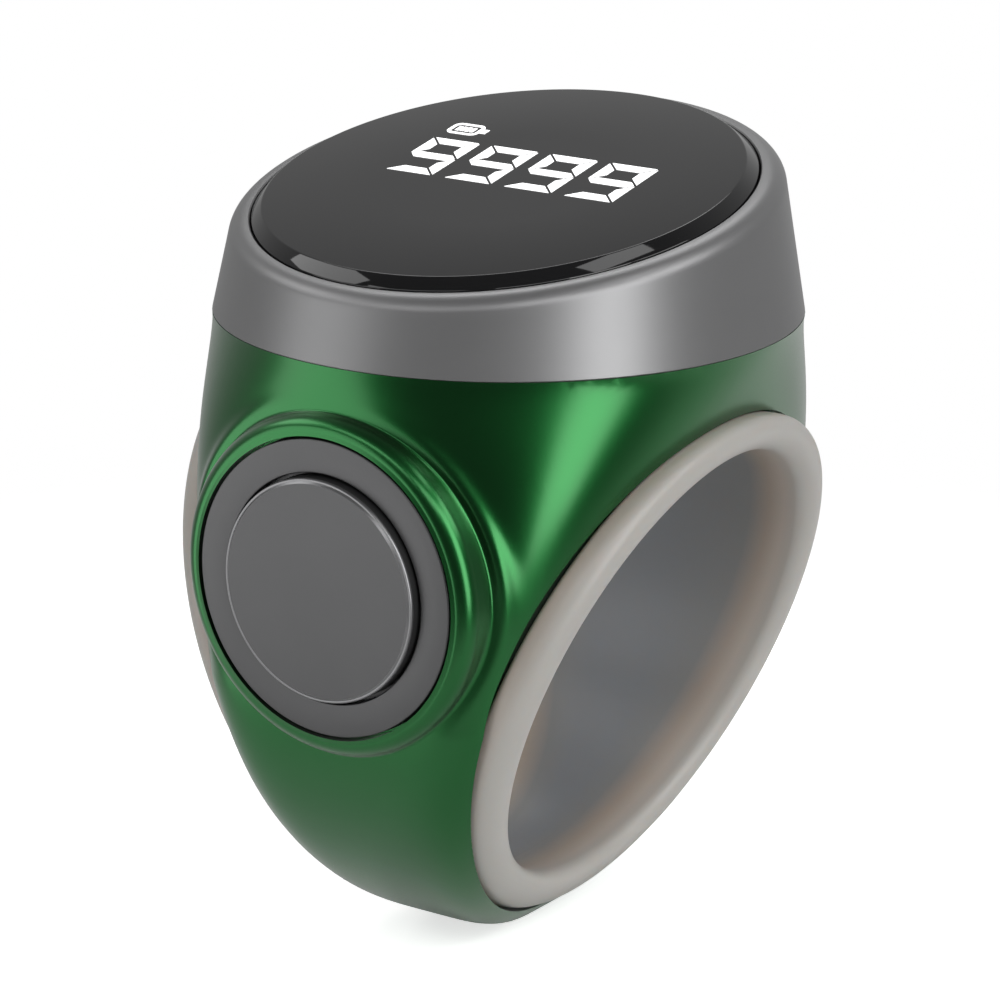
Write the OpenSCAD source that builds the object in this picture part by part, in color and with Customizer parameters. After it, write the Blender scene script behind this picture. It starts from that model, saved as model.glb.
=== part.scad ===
// A finger ring that counts beads: a round display on top, a push button on the front.
// X runs along the finger, -Y faces the button side, Z is up. The origin is the centre of the finger hole.

/* [Finger hole] */
// Diameter of the hole for the finger
finger_d = 20; // [19:0.1:20.6]
// Wall of the soft sleeve inside the barrel
sleeve_wall = 0.5; // [0.4:0.05:0.6]
// Wall of the barrel that closes the inside towards the finger
barrel_wall = 0.4; // [0.3:0.05:0.5]
// Wall of the body under the finger
band_wall = 1.5; // [1.3:0.05:1.8]
// Lean of the sleeve's end faces from upright
sleeve_lean = 21.3; // [19:0.1:22.5]
// How far the middle of an end lip lies inside the body's side, beside the finger
lip_inset = 0.54; // [0.3:0.02:0.8]
// Thickness of an end lip
lip_thick = 1.5; // [1.3:0.05:1.6]
// Width of an end lip round the finger hole
lip_wide = 1.5; // [1.3:0.05:1.6]

/* [Body] */
// Height of the seam between the body and the bezel above the body's round back
seam_rise = 2.1; // [1.95:0.05:2.5]
// Half width of the body at the seam, along the finger
seam_half_w = 12.6; // [12.2:0.05:13]
// Half depth of the body at the seam, front to back
seam_half_d = 12.4; // [12:0.05:12.7]
// How far the seam's middle stands behind the finger's axis
seam_back = 0.3; // [0:0.05:0.4]
// How much further in each side is beside the finger's axis than at the seam
waist_in = 4.7; // [4.4:0.05:5]
// Lean of the body's side faces from upright
side_lean = 17; // [16:0.5:18]
// How far below the finger's axis the lower corners start to round
corner_start = 4.1; // [3.5:0.1:5]
// How much the lower corners take off each side at the bottom
corner_take = 2.7; // [2.2:0.1:3]

/* [Bezel and display] */
// Height of the middle of the bezel's top face above the seam
bezel_h = 5.15; // [4.6:0.05:5.8]
// Tilt of the top face towards the button side
top_tilt = 11; // [9:0.5:12]
// How far the top edge stands inside the seam
rim_inset = 0.65; // [0.4:0.05:0.9]
// Width of the bezel's flat rim round the lens
rim_flat = 0.25; // [0.15:0.05:0.4]
// Rounding of the bezel's top edge
rim_round = 0.9; // [0.6:0.05:1]
// How far the lens stands above the bezel's rim
lens_proud = 0.445; // [0.3:0.005:0.6]
// Width of the slope round the lens
lens_slope = 0.48; // [0.3:0.02:0.6]
// Height of one digit on the display
digit_h = 3.7; // [3.2:0.1:4]
// Width of one digit
digit_w = 2.4; // [2:0.1:2.5]
// Distance from one digit to the next
digit_pitch = 3.03; // [2.9:0.01:3.1]
// Width of one stroke of a digit
stroke_w = 0.56; // [0.4:0.02:0.6]

/* [Button] */
// Height of the button's axis above the finger's axis
button_z = 5.44; // [5.2:0.02:5.6]
// Radius of the recess for the button's trim ring
trim_recess_r = 6.4; // [6.2:0.05:6.6]
// Radius of the button's cap
cap_r = 4.75; // [4.4:0.05:4.9]
// How far the cap stands in front of the trim ring
cap_proud = 0.46; // [0.4:0.02:0.6]
// Travel of the button
button_travel = 0.25; // [0.15:0.01:0.25]
// How far the boss stands in front of the body
boss_stand = 0.5; // [0.4:0.05:0.6]

/* [Inside] */
// Wall between the room for the electronics and the body's sides at the seam
room_wall = 2.3; // [2.1:0.05:2.5]
// Wall between the room and the body's front and back
back_wall = 2.15; // [2.05:0.05:2.4]
// Gap between the battery's sides and the carrier's tabs
battery_side = 1.2; // [0.6:0.1:2]
// Gap between the battery's front corners and the room's wall
battery_clear = 1; // [0.4:0.1:2]
// Thickness of the battery
battery_t = 2.8; // [2.2:0.1:3.1]
// Radius of the vibration motor's case
motor_r = 1.6; // [1.3:0.1:1.7]
// Length of the vibration motor's case
motor_l = 5.6; // [5:0.1:6]
// Thickness of the main board
board_t = 0.6; // [0.4:0.1:0.7]
// Distance between the two charging contacts
contact_pitch = 4; // [3.6:0.1:4.6]

/* [Hidden] */
$fn = 96;

// Overrun of every cut, play of pieces that seat in each other, and play of pieces that are dropped in
cut_over = 0.5;
seat_play = 0.05;
run_play = 0.08;

// Finger hole, worked outwards
finger_r = finger_d / 2;
barrel_in_r = finger_r + sleeve_wall;
barrel_out_r = barrel_in_r + barrel_wall;
body_bore_r = barrel_out_r + seat_play;
body_r = body_bore_r + band_wall;
lip_r = finger_r + lip_wide;

// Heights above the finger's axis, and half widths beside it
seam_z = body_r + seam_rise;
top_z = seam_z + bezel_h;
waist_half_w = seam_half_w - waist_in;
lip_reach = waist_half_w - lip_inset;
lip_in_share = 0.6;
lip_in = lip_reach - lip_thick * lip_in_share;
lip_out = lip_in + lip_thick;

// Body outline: level sections, square-sided low down and round at the seam
side_slope = tan(side_lean);
top_exponent_share = 2;
waist_exponent_share = 7;
base_exponent_share = 5.3;
square_fade_share = 1.33;
front_fade_share = 2.2;
seam_flare_share = 3;
seam_back_share = 1.5;
base_flat_share = 0.04;
lower_levels = 15;
upper_levels = 10;
around = 64;

// Bezel outline
rim_r = seam_half_w - rim_inset;
recess_r = rim_r - rim_round - rim_flat;
bezel_levels = 6;
rim_levels = 5;
skirt_wall = 0.6;
skirt_deep = 0.8;

// Lens, glue and panel, measured down from the bezel's top face
lens_deep = 0.9;
glue_t = 0.1;
shelf_wide = 1.2;
glue_edge = 0.12;
panel_clear = 0.32;
panel_corner = 38.7;
panel_reach = recess_r - shelf_wide - panel_clear;
panel_w = 2 * panel_reach * cos(panel_corner);
panel_d = 2 * panel_reach * sin(panel_corner);
panel_t = 1.2;
digit_count = 4;
digit_right = 0.16;
digit_low = 0.75;
digit_lift = 0.02;
stroke_gap = 0.08;
icon_w = 1.6;
icon_h = 1.13;
icon_line = 0.17;
icon_low = 3.62;
icon_nub_w = 0.3;
icon_nub_h = 0.42;
icon_bars = 4;
icon_bar_gap = 0.07;
icon_round = 0.35;

// Button, measured along Y from the boss face
boss_face = -(body_r + boss_stand);
trim_t = 0.6;
gasket_t = 0.25;
gasket_wide = 0.85;
pocket_r = trim_recess_r - gasket_wide - 2 * seat_play;
pocket_deep = 1.75;
cap_gap = 0.1;
cap_flange_wide = 0.4;
cap_flange_t = 0.35;
cap_edge = 0.12;
trim_back = boss_face + trim_t;
gasket_back = trim_back + gasket_t;
pocket_back = boss_face + pocket_deep;
cap_front = boss_face - cap_proud;
cap_back = trim_back + seat_play + cap_flange_t;
stem_r = 1.2;
land_wide = 0.75;
land_round = 0.4;
step_deep = 0.42;
step_wide = 0.65;
step_round = 0.6;
boss_draft = 1.1;
boss_side_lean = 10;
boss_deep = 3.2;
boss_root = body_r - boss_deep;
arc_steps = 5;

// Switch behind the cap
switch_w = 3;
switch_t = 0.5;
switch_sink = 0.38;
plunger_r = 0.75;
plunger_proud = 0.3;
flex_t = 0.15;
flex_w = 2.6;
switch_back = -(barrel_out_r - switch_sink);
switch_front = switch_back - switch_t;
plunger_front = switch_front - plunger_proud;
plunger_hole_deep = 0.35;
window_half_w = 1.9;
window_drop = 1.85;
window_low = button_z - window_drop;
contact_touch = 0.02;

// Room inside the body
room_r = min(seam_half_w - room_wall, body_r - back_wall);
room_side = 2.3;
room_half_w = room_r - room_side;
room_sink = 2.9;
room_low = barrel_out_r - room_sink;
ledge_rise = 1.75;
ledge_z = body_bore_r + ledge_rise;
flex_in = 1.1;
flex_y = room_r - flex_in;
flex_bend = 1.4;
skirt_in_r = room_r + seat_play;

// Carrier, its screws and the board
carrier_r = room_r - run_play;
carrier_wall = 0.45;
carrier_base_t = 0.6;
board_drop = 4.7;
board_z = top_z - board_drop;
screw_in = 1.22;
screw_x = carrier_r - screw_in;
tab_long = 1.8;
tab_start = screw_x - tab_long;
screw_hole_r = 0.45;
screw_head_r = 0.75;
screw_head_t = 0.4;
screw_long = 1.3;
board_r = room_r - run_play;
board_clear = 0.15;
room_top = board_z + board_t + board_clear;

// Chips: width, length and height, and their places as shares of the board's radius
chip_w = 4;
chip_h = 0.8;
chip_place_share = [-0.41, 0.12];
charger_w = 2;
charger_h = 0.6;
charger_place_share = [0.35, 0.16];
crystal_w = 2;
crystal_l = 1.6;
crystal_h = 0.5;
crystal_place_share = [-0.41, 0.49];
antenna_w = 3.2;
antenna_l = 1.6;
antenna_h = 0.6;
antenna_place_share = [0.5, 0.53];
passive_w = 1;
passive_l = 0.5;
passive_h = 0.5;
passive_place_share = [0.25, -0.14];
passive_pitch = 1.3;
passive_count = 4;
connector_w = 5;
connector_l = 1.4;
connector_h = 0.9;
connector_in = 2.02;
connector_y = board_r - connector_in;
panel_flex_w = 4;
panel_flex_level_share = 0.75;

// Vibration motor, lying along the finger near the back wall
motor_clear = 0.7;
motor_lift = 0.825;
motor_y = flex_y - motor_clear - motor_r;
motor_z = sqrt(pow(barrel_out_r + motor_r + motor_lift, 2) - pow(motor_y, 2));
motor_shaft_r = 0.35;
motor_shaft_out = 2.6;
shaft_seat_share = 0.6;
motor_x = -3.9;
weight_l = 1.9;
weight_in = 0.15;
weight_r = motor_r - weight_in;
weight_gap = 0.35;
weight_cut_share = 1.6;
cradle_t = 0.35;
cradle_l = 4;
cradle_width_share = 1.4;
cradle_height_share = 0.6;

// Battery in front of the motor, its pad and tabs
pad_t = 0.3;
pad_w = 8;
pad_l = 2.4;
tab_w = 1.2;
tab_t = 0.15;
tab_x = 3;
tab_low = 0.8;
tab_clear = 0.25;
battery_low = barrel_out_r + pad_t;
battery_w = 2 * (tab_start - battery_side);
battery_back = motor_y - motor_r - tab_t - tab_clear;
battery_front = -sqrt(pow(room_r - battery_clear, 2) - pow(battery_w / 2, 2));
battery_round = 0.6;

// Charging contacts through the back wall
contact_drop = 0.5;
contact_z = barrel_out_r - contact_drop;
contact_r = 0.7;
contact_head_t = 0.3;
insulator_wall = 0.35;
contact_reach = 0.45;
contact_in = room_r - contact_reach;

/* Outline of the body and the bezel */

// A closed skin over a stack of rings of points, lowest ring first, each ring running from +X to +Y
module skin(rings) {
  count = len(rings[0]);
  last = len(rings) - 1;
  sides = [for (i = [0:last - 1], j = [0:count - 1])
    let (k = (j + 1) % count)
    each [
      [i * count + j, (i + 1) * count + k, i * count + k],
      [i * count + j, (i + 1) * count + j, (i + 1) * count + k]
    ]];
  base = [for (j = [0:count - 1]) j];
  lid = [for (j = [count - 1:-1:0]) last * count + j];
  polyhedron(points = [for (ring = rings) each ring], faces = concat(sides, [base, lid]));
}

// One point of a unit ring whose corners get squarer as the exponent grows
function squared(angle, exponent) =
  let (c = cos(angle), s = sin(angle))
  let (reach = pow(pow(abs(c), exponent) + pow(abs(s), exponent), -1 / exponent))
  [c * reach, s * reach];

function rise_share(z) = max(z, 0) / seam_z;
function drop_share(z) = min(1, max(0, (-z - corner_start) / (body_r - corner_start)));

// Half width, half depth, middle and squareness of the body's level section at height z
function half_w(z) =
  waist_half_w + side_slope * z
  + (seam_half_w - waist_half_w - side_slope * seam_z) * pow(rise_share(z), seam_flare_share)
  - corner_take * (1 - sqrt(1 - pow(drop_share(z), 2)));
function half_d(z) =
  z < 0 ? sqrt(max(0, body_r * body_r - z * z))
  : body_r + (seam_half_d - body_r) * pow(rise_share(z), front_fade_share);
function middle_y(z) = seam_back * pow(rise_share(z), seam_back_share);
function squareness(z) =
  z < 0 ? waist_exponent_share + (base_exponent_share - waist_exponent_share) * (-z / body_r)
  : top_exponent_share
    + (waist_exponent_share - top_exponent_share) * pow(1 - rise_share(z), square_fade_share);

function body_ring(z) = [for (j = [0:around - 1])
  let (p = squared(360 * j / around, squareness(z)))
  [half_w(z) * p[0], middle_y(z) + half_d(z) * p[1], z]];

function body_heights() = concat(
  [for (i = [0:lower_levels - 1])
    let (t = base_flat_share + (1 - base_flat_share) * i / lower_levels)
    -body_r * cos(90 * t)],
  [for (i = [0:upper_levels]) seam_z * i / upper_levels]);

module body_outline() {
  skin([for (z = body_heights()) body_ring(z)]);
}

// Puts what is drawn about the origin onto the tilted top face, with Z out of the lens
module on_top() {
  translate([0, 0, top_z]) rotate([top_tilt, 0, 0]) children();
}

// Puts what is drawn with Z out of the button onto the button's axis, measured along Y from the finger's axis
module on_button() {
  translate([0, 0, button_z]) rotate([90, 0, 0]) children();
}

// A bezel ring of points, part of the way from the seam up to the rim
function bezel_ring_points(share, wide, deep, sink) = [for (j = [0:around - 1])
  let (a = 360 * j / around, tilt = top_tilt * share)
  let (y = deep * sin(a))
  let (mid_y = seam_back * (1 - share) + sink * sin(tilt))
  let (mid_z = seam_z + (top_z - seam_z) * share - sink * cos(tilt))
  [wide * cos(a), mid_y + y * cos(tilt), mid_z + y * sin(tilt)]];

function mix(a, b, share) = a + (b - a) * share;

module bezel_outline() {
  low_share = 1 - rim_round / (top_z - seam_z);
  wall_rings = [for (i = [0:bezel_levels])
    let (share = low_share * i / bezel_levels)
    bezel_ring_points(share, mix(seam_half_w, rim_r, share), mix(seam_half_d, rim_r, share), 0)];
  rim_rings = [for (i = [1:rim_levels])
    let (turn = 90 * i / rim_levels)
    let (r = rim_r - rim_round * (1 - cos(turn)))
    bezel_ring_points(1, r, r, rim_round * (1 - sin(turn)))];
  skin(concat(wall_rings, rim_rings));
}

/* Casing */

module finger_axis_rod(r, long) {
  rotate([0, 90, 0]) cylinder(r = r, h = long, center = true);
}

// The half space beyond a slanted end face, at a reach from the middle beside the finger
module beyond_slant(side, reach) {
  size = 6 * body_r;
  mirror([side < 0 ? 1 : 0, 0, 0])
    translate([reach, 0, 0])
      rotate([0, sleeve_lean, 0])
        translate([0, -size / 2, -size / 2]) cube(size);
}

// Seats in the body's two sides for the sleeve's end lips
module lip_seats() {
  for (side = [-1, 1])
    intersection() {
      finger_axis_rod(lip_r + seat_play, 4 * seam_half_w);
      beyond_slant(side, lip_in - seat_play);
    }
}

// The boss that carries the button: a land, a step and a drafted side, turned about the button's axis
function arc_points(x, y, r, from, to) =
  [for (i = [0:arc_steps]) let (a = mix(from, to, i / arc_steps)) [x + r * cos(a), y + r * sin(a)]];

module boss() {
  face = -boss_face;
  land_r = trim_recess_r + land_wide;
  step_r = land_r + step_wide;
  on_button()
    rotate_extrude()
      polygon(concat(
        [[0, boss_root], [0, face]],
        arc_points(land_r - land_round, face - land_round, land_round, 90, 0),
        [[land_r, face - step_deep]],
        arc_points(step_r - step_round + land_round, face - step_deep - step_round, step_round,
          90, boss_side_lean),
        [[step_r + boss_draft, boss_root]]));
}

module room() {
  intersection() {
    translate([0, 0, room_low]) cylinder(r = room_r, h = seam_z);
    translate([-room_half_w, -room_r, room_low]) cube([2 * room_half_w, 2 * room_r, seam_z]);
  }
  translate([0, 0, ledge_z]) cylinder(r = room_r, h = seam_z);
}

module body_shell() {
  window_top = room_low + 2 * flex_bend;
  color("#1f8a3d")
    difference() {
      union() {
        body_outline();
        boss();
      }
      finger_axis_rod(body_bore_r, 4 * seam_half_w);
      lip_seats();
      room();
      translate([0, 0, seam_z - skirt_deep - seat_play])
        cylinder(r = skirt_in_r + skirt_wall + seat_play, h = seam_z);
      on_button() {
        translate([0, 0, -gasket_back]) cylinder(r = trim_recess_r, h = body_r);
        translate([0, 0, -pocket_back]) cylinder(r = pocket_r, h = body_r);
      }
      translate([-window_half_w, pocket_back - cut_over, window_low])
        cube([2 * window_half_w, cut_over - pocket_back - room_half_w, window_top - window_low]);
      for (x = [-screw_x, screw_x])
        translate([x, 0, ledge_z - screw_long]) cylinder(r = screw_hole_r, h = screw_long + cut_over);
      for (x = [-1, 1])
        translate([x * contact_pitch / 2, 0, contact_z]) rotate([-90, 0, 0])
          cylinder(r = contact_r + insulator_wall, h = 2 * body_r);
    }
}

module bezel_ring() {
  color("#77787a")
    difference() {
      union() {
        bezel_outline();
        translate([0, 0, seam_z - skirt_deep]) cylinder(r = skirt_in_r + skirt_wall, h = 2 * skirt_deep);
      }
      translate([0, 0, seam_z - 2 * skirt_deep])
        cylinder(r = skirt_in_r, h = room_top - seam_z + 2 * skirt_deep);
      on_top() {
        translate([0, 0, -lens_deep - glue_t]) cylinder(r = recess_r, h = 2 * lens_deep);
      }
      translate([0, (lens_deep + glue_t) * sin(top_tilt), room_top - cut_over])
        cylinder(r = recess_r - shelf_wide, h = 2 * (top_z - room_top));
    }
}

module inner_barrel() {
  color("#5d6064")
    difference() {
      finger_axis_rod(barrel_out_r, 4 * seam_half_w);
      finger_axis_rod(barrel_in_r, 5 * seam_half_w);
      for (side = [-1, 1]) beyond_slant(side, lip_in);
    }
}

module finger_sleeve() {
  color("#b3a89c")
    difference() {
      union() {
        finger_axis_rod(barrel_in_r, 4 * seam_half_w);
        for (side = [-1, 1])
          intersection() {
            finger_axis_rod(lip_r, 4 * seam_half_w);
            beyond_slant(side, lip_in);
          }
      }
      finger_axis_rod(finger_r, 5 * seam_half_w);
      for (side = [-1, 1]) beyond_slant(side, lip_out);
    }
}

/* Display */

module display_lens() {
  r = recess_r - run_play;
  color("#2b2b2e")
    on_top()
      rotate_extrude()
        polygon([[0, -lens_deep], [r, -lens_deep], [r, 0], [r - lens_slope, lens_proud], [0, lens_proud]]);
}

module lens_adhesive() {
  color("#101012")
    on_top()
      translate([0, 0, -lens_deep - glue_t])
        difference() {
          cylinder(r = recess_r - glue_edge, h = glue_t);
          translate([0, 0, -glue_t]) cylinder(r = recess_r - shelf_wide + glue_edge, h = 3 * glue_t);
        }
}

// One flat stroke with both ends cut to 45 degrees, its long edge on the X axis
module stroke(long, wide) {
  polygon([[0, 0], [wide, wide], [long - wide, wide], [long, 0]]);
}

module middle_stroke(long, wide) {
  half = wide / 2;
  polygon([[0, 0], [half, half], [long - half, half], [long, 0], [long - half, -half], [half, -half]]);
}

module nine() {
  g = stroke_gap;
  arm = digit_h / 2;
  translate([g, 0]) stroke(digit_w - 2 * g, stroke_w);
  translate([g, digit_h]) mirror([0, 1]) stroke(digit_w - 2 * g, stroke_w);
  translate([g, arm]) middle_stroke(digit_w - 2 * g, stroke_w);
  translate([digit_w, g]) rotate(90) stroke(arm - 2 * g, stroke_w);
  translate([digit_w, arm + g]) rotate(90) stroke(arm - 2 * g, stroke_w);
  translate([0, digit_h - g]) rotate(-90) stroke(arm - 2 * g, stroke_w);
}

// An outline with four rounded corners
module rounded_plate(w, h, r) {
  translate([r, 0]) square([w - 2 * r, h]);
  translate([0, r]) square([w, h - 2 * r]);
  for (x = [r, w - r], y = [r, h - r]) translate([x, y]) circle(r = r);
}

module battery_icon() {
  inner_w = icon_w - 4 * icon_line;
  bar_w = (inner_w - (icon_bars - 1) * icon_bar_gap) / icon_bars;
  difference() {
    rounded_plate(icon_w, icon_h, icon_round);
    translate([icon_line, icon_line])
      rounded_plate(icon_w - 2 * icon_line, icon_h - 2 * icon_line, icon_round - icon_line);
  }
  translate([icon_w, icon_h / 2 - icon_nub_h / 2]) square([icon_nub_w, icon_nub_h]);
  for (i = [0:icon_bars - 1])
    translate([2 * icon_line + i * (bar_w + icon_bar_gap), 2 * icon_line])
      square([bar_w, icon_h - 4 * icon_line]);
}

module display_digits() {
  row_w = (digit_count - 1) * digit_pitch + digit_w;
  left = digit_right - row_w / 2;
  color("white")
    on_top()
      translate([0, 0, lens_proud])
        linear_extrude(digit_lift) {
          for (i = [0:digit_count - 1]) translate([left + i * digit_pitch, -digit_low]) nine();
          translate([left, icon_low]) battery_icon();
        }
}

module oled_panel() {
  top = -lens_deep - seat_play;
  color("#14161a")
    on_top()
      translate([-panel_w / 2, -panel_d / 2, top - panel_t]) cube([panel_w, panel_d, panel_t]);
}

// A bent strip along X, its line of middle points in Y and Z thickened across
function across(a, b) = let (d = b - a) [-d[1], d[0]] / norm(d);
function bend_normal(path, i) =
  i == 0 ? across(path[0], path[1])
  : i == len(path) - 1 ? across(path[i - 1], path[i])
  : let (m = across(path[i - 1], path[i]) + across(path[i], path[i + 1]))
    m / (norm(m) * norm(m) / 2);

module strip(path, thick, wide) {
  far = [for (i = [0:len(path) - 1]) path[i] + bend_normal(path, i) * thick / 2];
  near = [for (i = [len(path) - 1:-1:0]) path[i] - bend_normal(path, i) * thick / 2];
  translate([-wide / 2, 0, 0])
    rotate([90, 0, 90])
      linear_extrude(wide) polygon(concat(far, near));
}

// A point of the tilted top frame in Y and Z
function top_point(y, z) =
  [y * cos(top_tilt) - z * sin(top_tilt), top_z + y * sin(top_tilt) + z * cos(top_tilt)];

module oled_flex() {
  panel_back = panel_d / 2;
  level = -lens_deep - seat_play - panel_t * panel_flex_level_share;
  start = top_point(panel_back, level);
  bend = top_point(panel_back + flex_bend / 2, level);
  foot = [connector_y, board_z + board_t + connector_h];
  color("#c27b2a")
    strip([start, bend, [connector_y, bend[1] - flex_bend / 2], foot], flex_t, panel_flex_w);
}

// A block on the board with its middle at a share of the board's radius, and moved on along X
module on_board(place_share, size, along = 0) {
  at = board_r * place_share;
  translate([at[0] + along - size[0] / 2, at[1] - size[1] / 2, board_z + board_t]) cube(size);
}

module oled_connector() {
  color("#e8e2d2") on_board([0, connector_y / board_r], [connector_w, connector_l, connector_h]);
}

/* Button and switch */

module button_trim_ring() {
  color("#6f7073")
    on_button()
      translate([0, 0, -trim_back])
        difference() {
          cylinder(r = trim_recess_r - run_play, h = trim_t);
          translate([0, 0, -cut_over]) cylinder(r = cap_r + cap_gap, h = trim_t + 2 * cut_over);
        }
}

module button_cap() {
  front = -cap_front;
  flange_front = -trim_back - seat_play;
  color("#67686b")
    on_button()
      rotate_extrude()
        polygon([
          [0, -plunger_front + contact_touch], [stem_r, -plunger_front + contact_touch],
          [stem_r, -cap_back], [cap_r + cap_flange_wide, -cap_back],
          [cap_r + cap_flange_wide, flange_front], [cap_r, flange_front],
          [cap_r, front - cap_edge], [cap_r - cap_edge, front], [0, front]
        ]);
}

module button_gasket() {
  color("#1b1b1b")
    on_button()
      translate([0, 0, -gasket_back])
        difference() {
          cylinder(r = trim_recess_r - run_play, h = gasket_t);
          translate([0, 0, -cut_over]) cylinder(r = pocket_r, h = gasket_t + 2 * cut_over);
        }
}

module switch_body() {
  color("#2a2a2a")
    difference() {
      translate([-switch_w / 2, switch_front, button_z - switch_w / 2]) cube([switch_w, switch_t, switch_w]);
      on_button()
        translate([0, 0, -switch_front - plunger_hole_deep])
          cylinder(r = plunger_r + seat_play, h = plunger_hole_deep + cut_over);
    }
}

module switch_plunger() {
  color("#b8b8b8")
    on_button()
      translate([0, 0, -switch_front - plunger_hole_deep + button_travel + contact_touch])
        cylinder(r = plunger_r, h = plunger_proud + plunger_hole_deep - button_travel - contact_touch);
}

module button_flex() {
  line = switch_back + flex_t / 2;
  color("#c27b2a")
    strip([[line, button_z - switch_w / 2], [line, room_low + flex_bend], [-flex_y, room_low + 2 * flex_bend],
      [-flex_y, board_z]], flex_t, flex_w);
}

/* Carrier and board */

module display_carrier() {
  color("#232427")
    difference() {
      translate([0, 0, ledge_z]) cylinder(r = carrier_r, h = board_z - ledge_z);
      translate([0, 0, ledge_z + carrier_base_t]) cylinder(r = carrier_r - carrier_wall, h = board_z);
      translate([-tab_start, -room_r, ledge_z - cut_over])
        cube([2 * tab_start, 2 * room_r, carrier_base_t + cut_over]);
      for (x = [-screw_x, screw_x])
        translate([x, 0, ledge_z - cut_over]) cylinder(r = screw_hole_r + run_play, h = seam_z);
    }
}

module carrier_screws() {
  head_z = ledge_z + carrier_base_t;
  color("#c8c9cc")
    for (x = [-screw_x, screw_x])
      translate([x, 0, 0]) {
        translate([0, 0, ledge_z - screw_long + seat_play])
          cylinder(r = screw_hole_r, h = screw_long + carrier_base_t);
        difference() {
          translate([0, 0, head_z]) cylinder(r = screw_head_r, h = screw_head_t);
          translate([0, 0, head_z + screw_head_t / 2])
            cylinder(r = screw_head_r / 2, h = screw_head_t, $fn = 6);
        }
      }
}

module main_board() {
  color("#0f4a2a")
    translate([0, 0, board_z]) cylinder(r = board_r, h = board_t);
}

module controller_chip() {
  color("#1c1c1e") on_board(chip_place_share, [chip_w, chip_w, chip_h]);
}

module charger_chip() {
  color("#232325") on_board(charger_place_share, [charger_w, charger_w, charger_h]);
}

module crystal() {
  color("#cfd0d2") on_board(crystal_place_share, [crystal_w, crystal_l, crystal_h]);
}

module antenna() {
  color("#e6e6e0") on_board(antenna_place_share, [antenna_w, antenna_l, antenna_h]);
}

module board_passives() {
  color("#b08b5a")
    for (i = [0:passive_count - 1])
      on_board(passive_place_share, [passive_w, passive_l, passive_h], i * passive_pitch);
}

/* Battery and motor */

module battery_cell() {
  color("#b9bcc0")
    translate([0, battery_front, battery_low])
      linear_extrude(battery_t)
        translate([-battery_w / 2, 0]) rounded_plate(battery_w, battery_back - battery_front, battery_round);
}

// A foam pad along the barrel's crown
module battery_pad() {
  color("#3a3a3a")
    translate([-pad_w / 2, -pad_l / 2, barrel_out_r]) cube([pad_w, pad_l, pad_t]);
}

module battery_tabs() {
  color("#d0c8a0")
    for (x = [-tab_x, tab_x])
      translate([x - tab_w / 2, battery_back, battery_low + battery_t - tab_low])
        cube([tab_w, tab_t, board_z - battery_low - battery_t + tab_low]);
}

module along_motor(from, long, r) {
  translate([from, motor_y, motor_z]) rotate([0, 90, 0]) cylinder(r = r, h = long);
}

module motor_case() {
  color("#a9abae")
    difference() {
      along_motor(motor_x, motor_l, motor_r);
      along_motor(motor_x + motor_l * (1 - shaft_seat_share), motor_l, motor_shaft_r + run_play / 2);
    }
}

module motor_shaft() {
  color("#d8d9db")
    along_motor(motor_x + motor_l * (1 - shaft_seat_share) + run_play,
      motor_l * shaft_seat_share + motor_shaft_out, motor_shaft_r);
}

// A half-round weight on the shaft
module motor_weight() {
  start = motor_x + motor_l + weight_gap;
  color("#8c7a5c")
    difference() {
      along_motor(start, weight_l, weight_r);
      along_motor(start - cut_over, weight_l + 2 * cut_over, motor_shaft_r);
      translate([start - cut_over, motor_y - motor_r, motor_z + motor_shaft_r * weight_cut_share])
        cube([weight_l + 2 * cut_over, 2 * motor_r, 2 * motor_r]);
    }
}

// A rubber saddle between the motor and the barrel
module motor_cradle() {
  low = motor_z - motor_r - cradle_t;
  color("#2d2d2d")
    difference() {
      translate([motor_x + (motor_l - cradle_l) / 2, motor_y - motor_r * cradle_width_share / 2, low])
        cube([cradle_l, motor_r * cradle_width_share, cradle_t + motor_r * cradle_height_share]);
      along_motor(motor_x - cut_over, motor_l + 2 * cut_over, motor_r);
      finger_axis_rod(barrel_out_r, 4 * seam_half_w);
    }
}

/* Charging contacts */

module through_back(r, from, to) {
  for (x = [-1, 1])
    translate([x * contact_pitch / 2, from, contact_z])
      rotate([-90, 0, 0]) cylinder(r = r, h = to - from);
}

module charge_contacts() {
  color("#d9b24a") {
    through_back(contact_r, contact_in, body_r - contact_head_t);
    through_back(contact_r, body_r - contact_head_t, body_r);
  }
}

module contact_insulators() {
  color("#151515")
    difference() {
      through_back(contact_r + insulator_wall, room_r - seat_play, body_r - seat_play);
      through_back(contact_r, room_r - 2 * seat_play - cut_over, body_r + cut_over);
    }
}

module charge_flex() {
  line = contact_in - flex_t / 2;
  color("#c27b2a")
    strip([[line, contact_z - 2 * contact_r], [line, ledge_z - flex_bend / 2], [flex_y, ledge_z],
      [flex_y, board_z]], flex_t, contact_pitch + 2 * contact_r);
}

display_digits();
display_lens();
lens_adhesive();
oled_panel();
oled_flex();
oled_connector();
bezel_ring();
body_shell();
inner_barrel();
finger_sleeve();
button_trim_ring();
button_cap();
button_gasket();
switch_body();
switch_plunger();
button_flex();
display_carrier();
carrier_screws();
main_board();
controller_chip();
charger_chip();
crystal();
antenna();
board_passives();
battery_cell();
battery_pad();
battery_tabs();
motor_case();
motor_shaft();
motor_weight();
motor_cradle();
charge_contacts();
contact_insulators();
charge_flex();
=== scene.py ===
import math
import bpy
import bmesh
import numpy as np
from mathutils import Matrix, Vector


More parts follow.
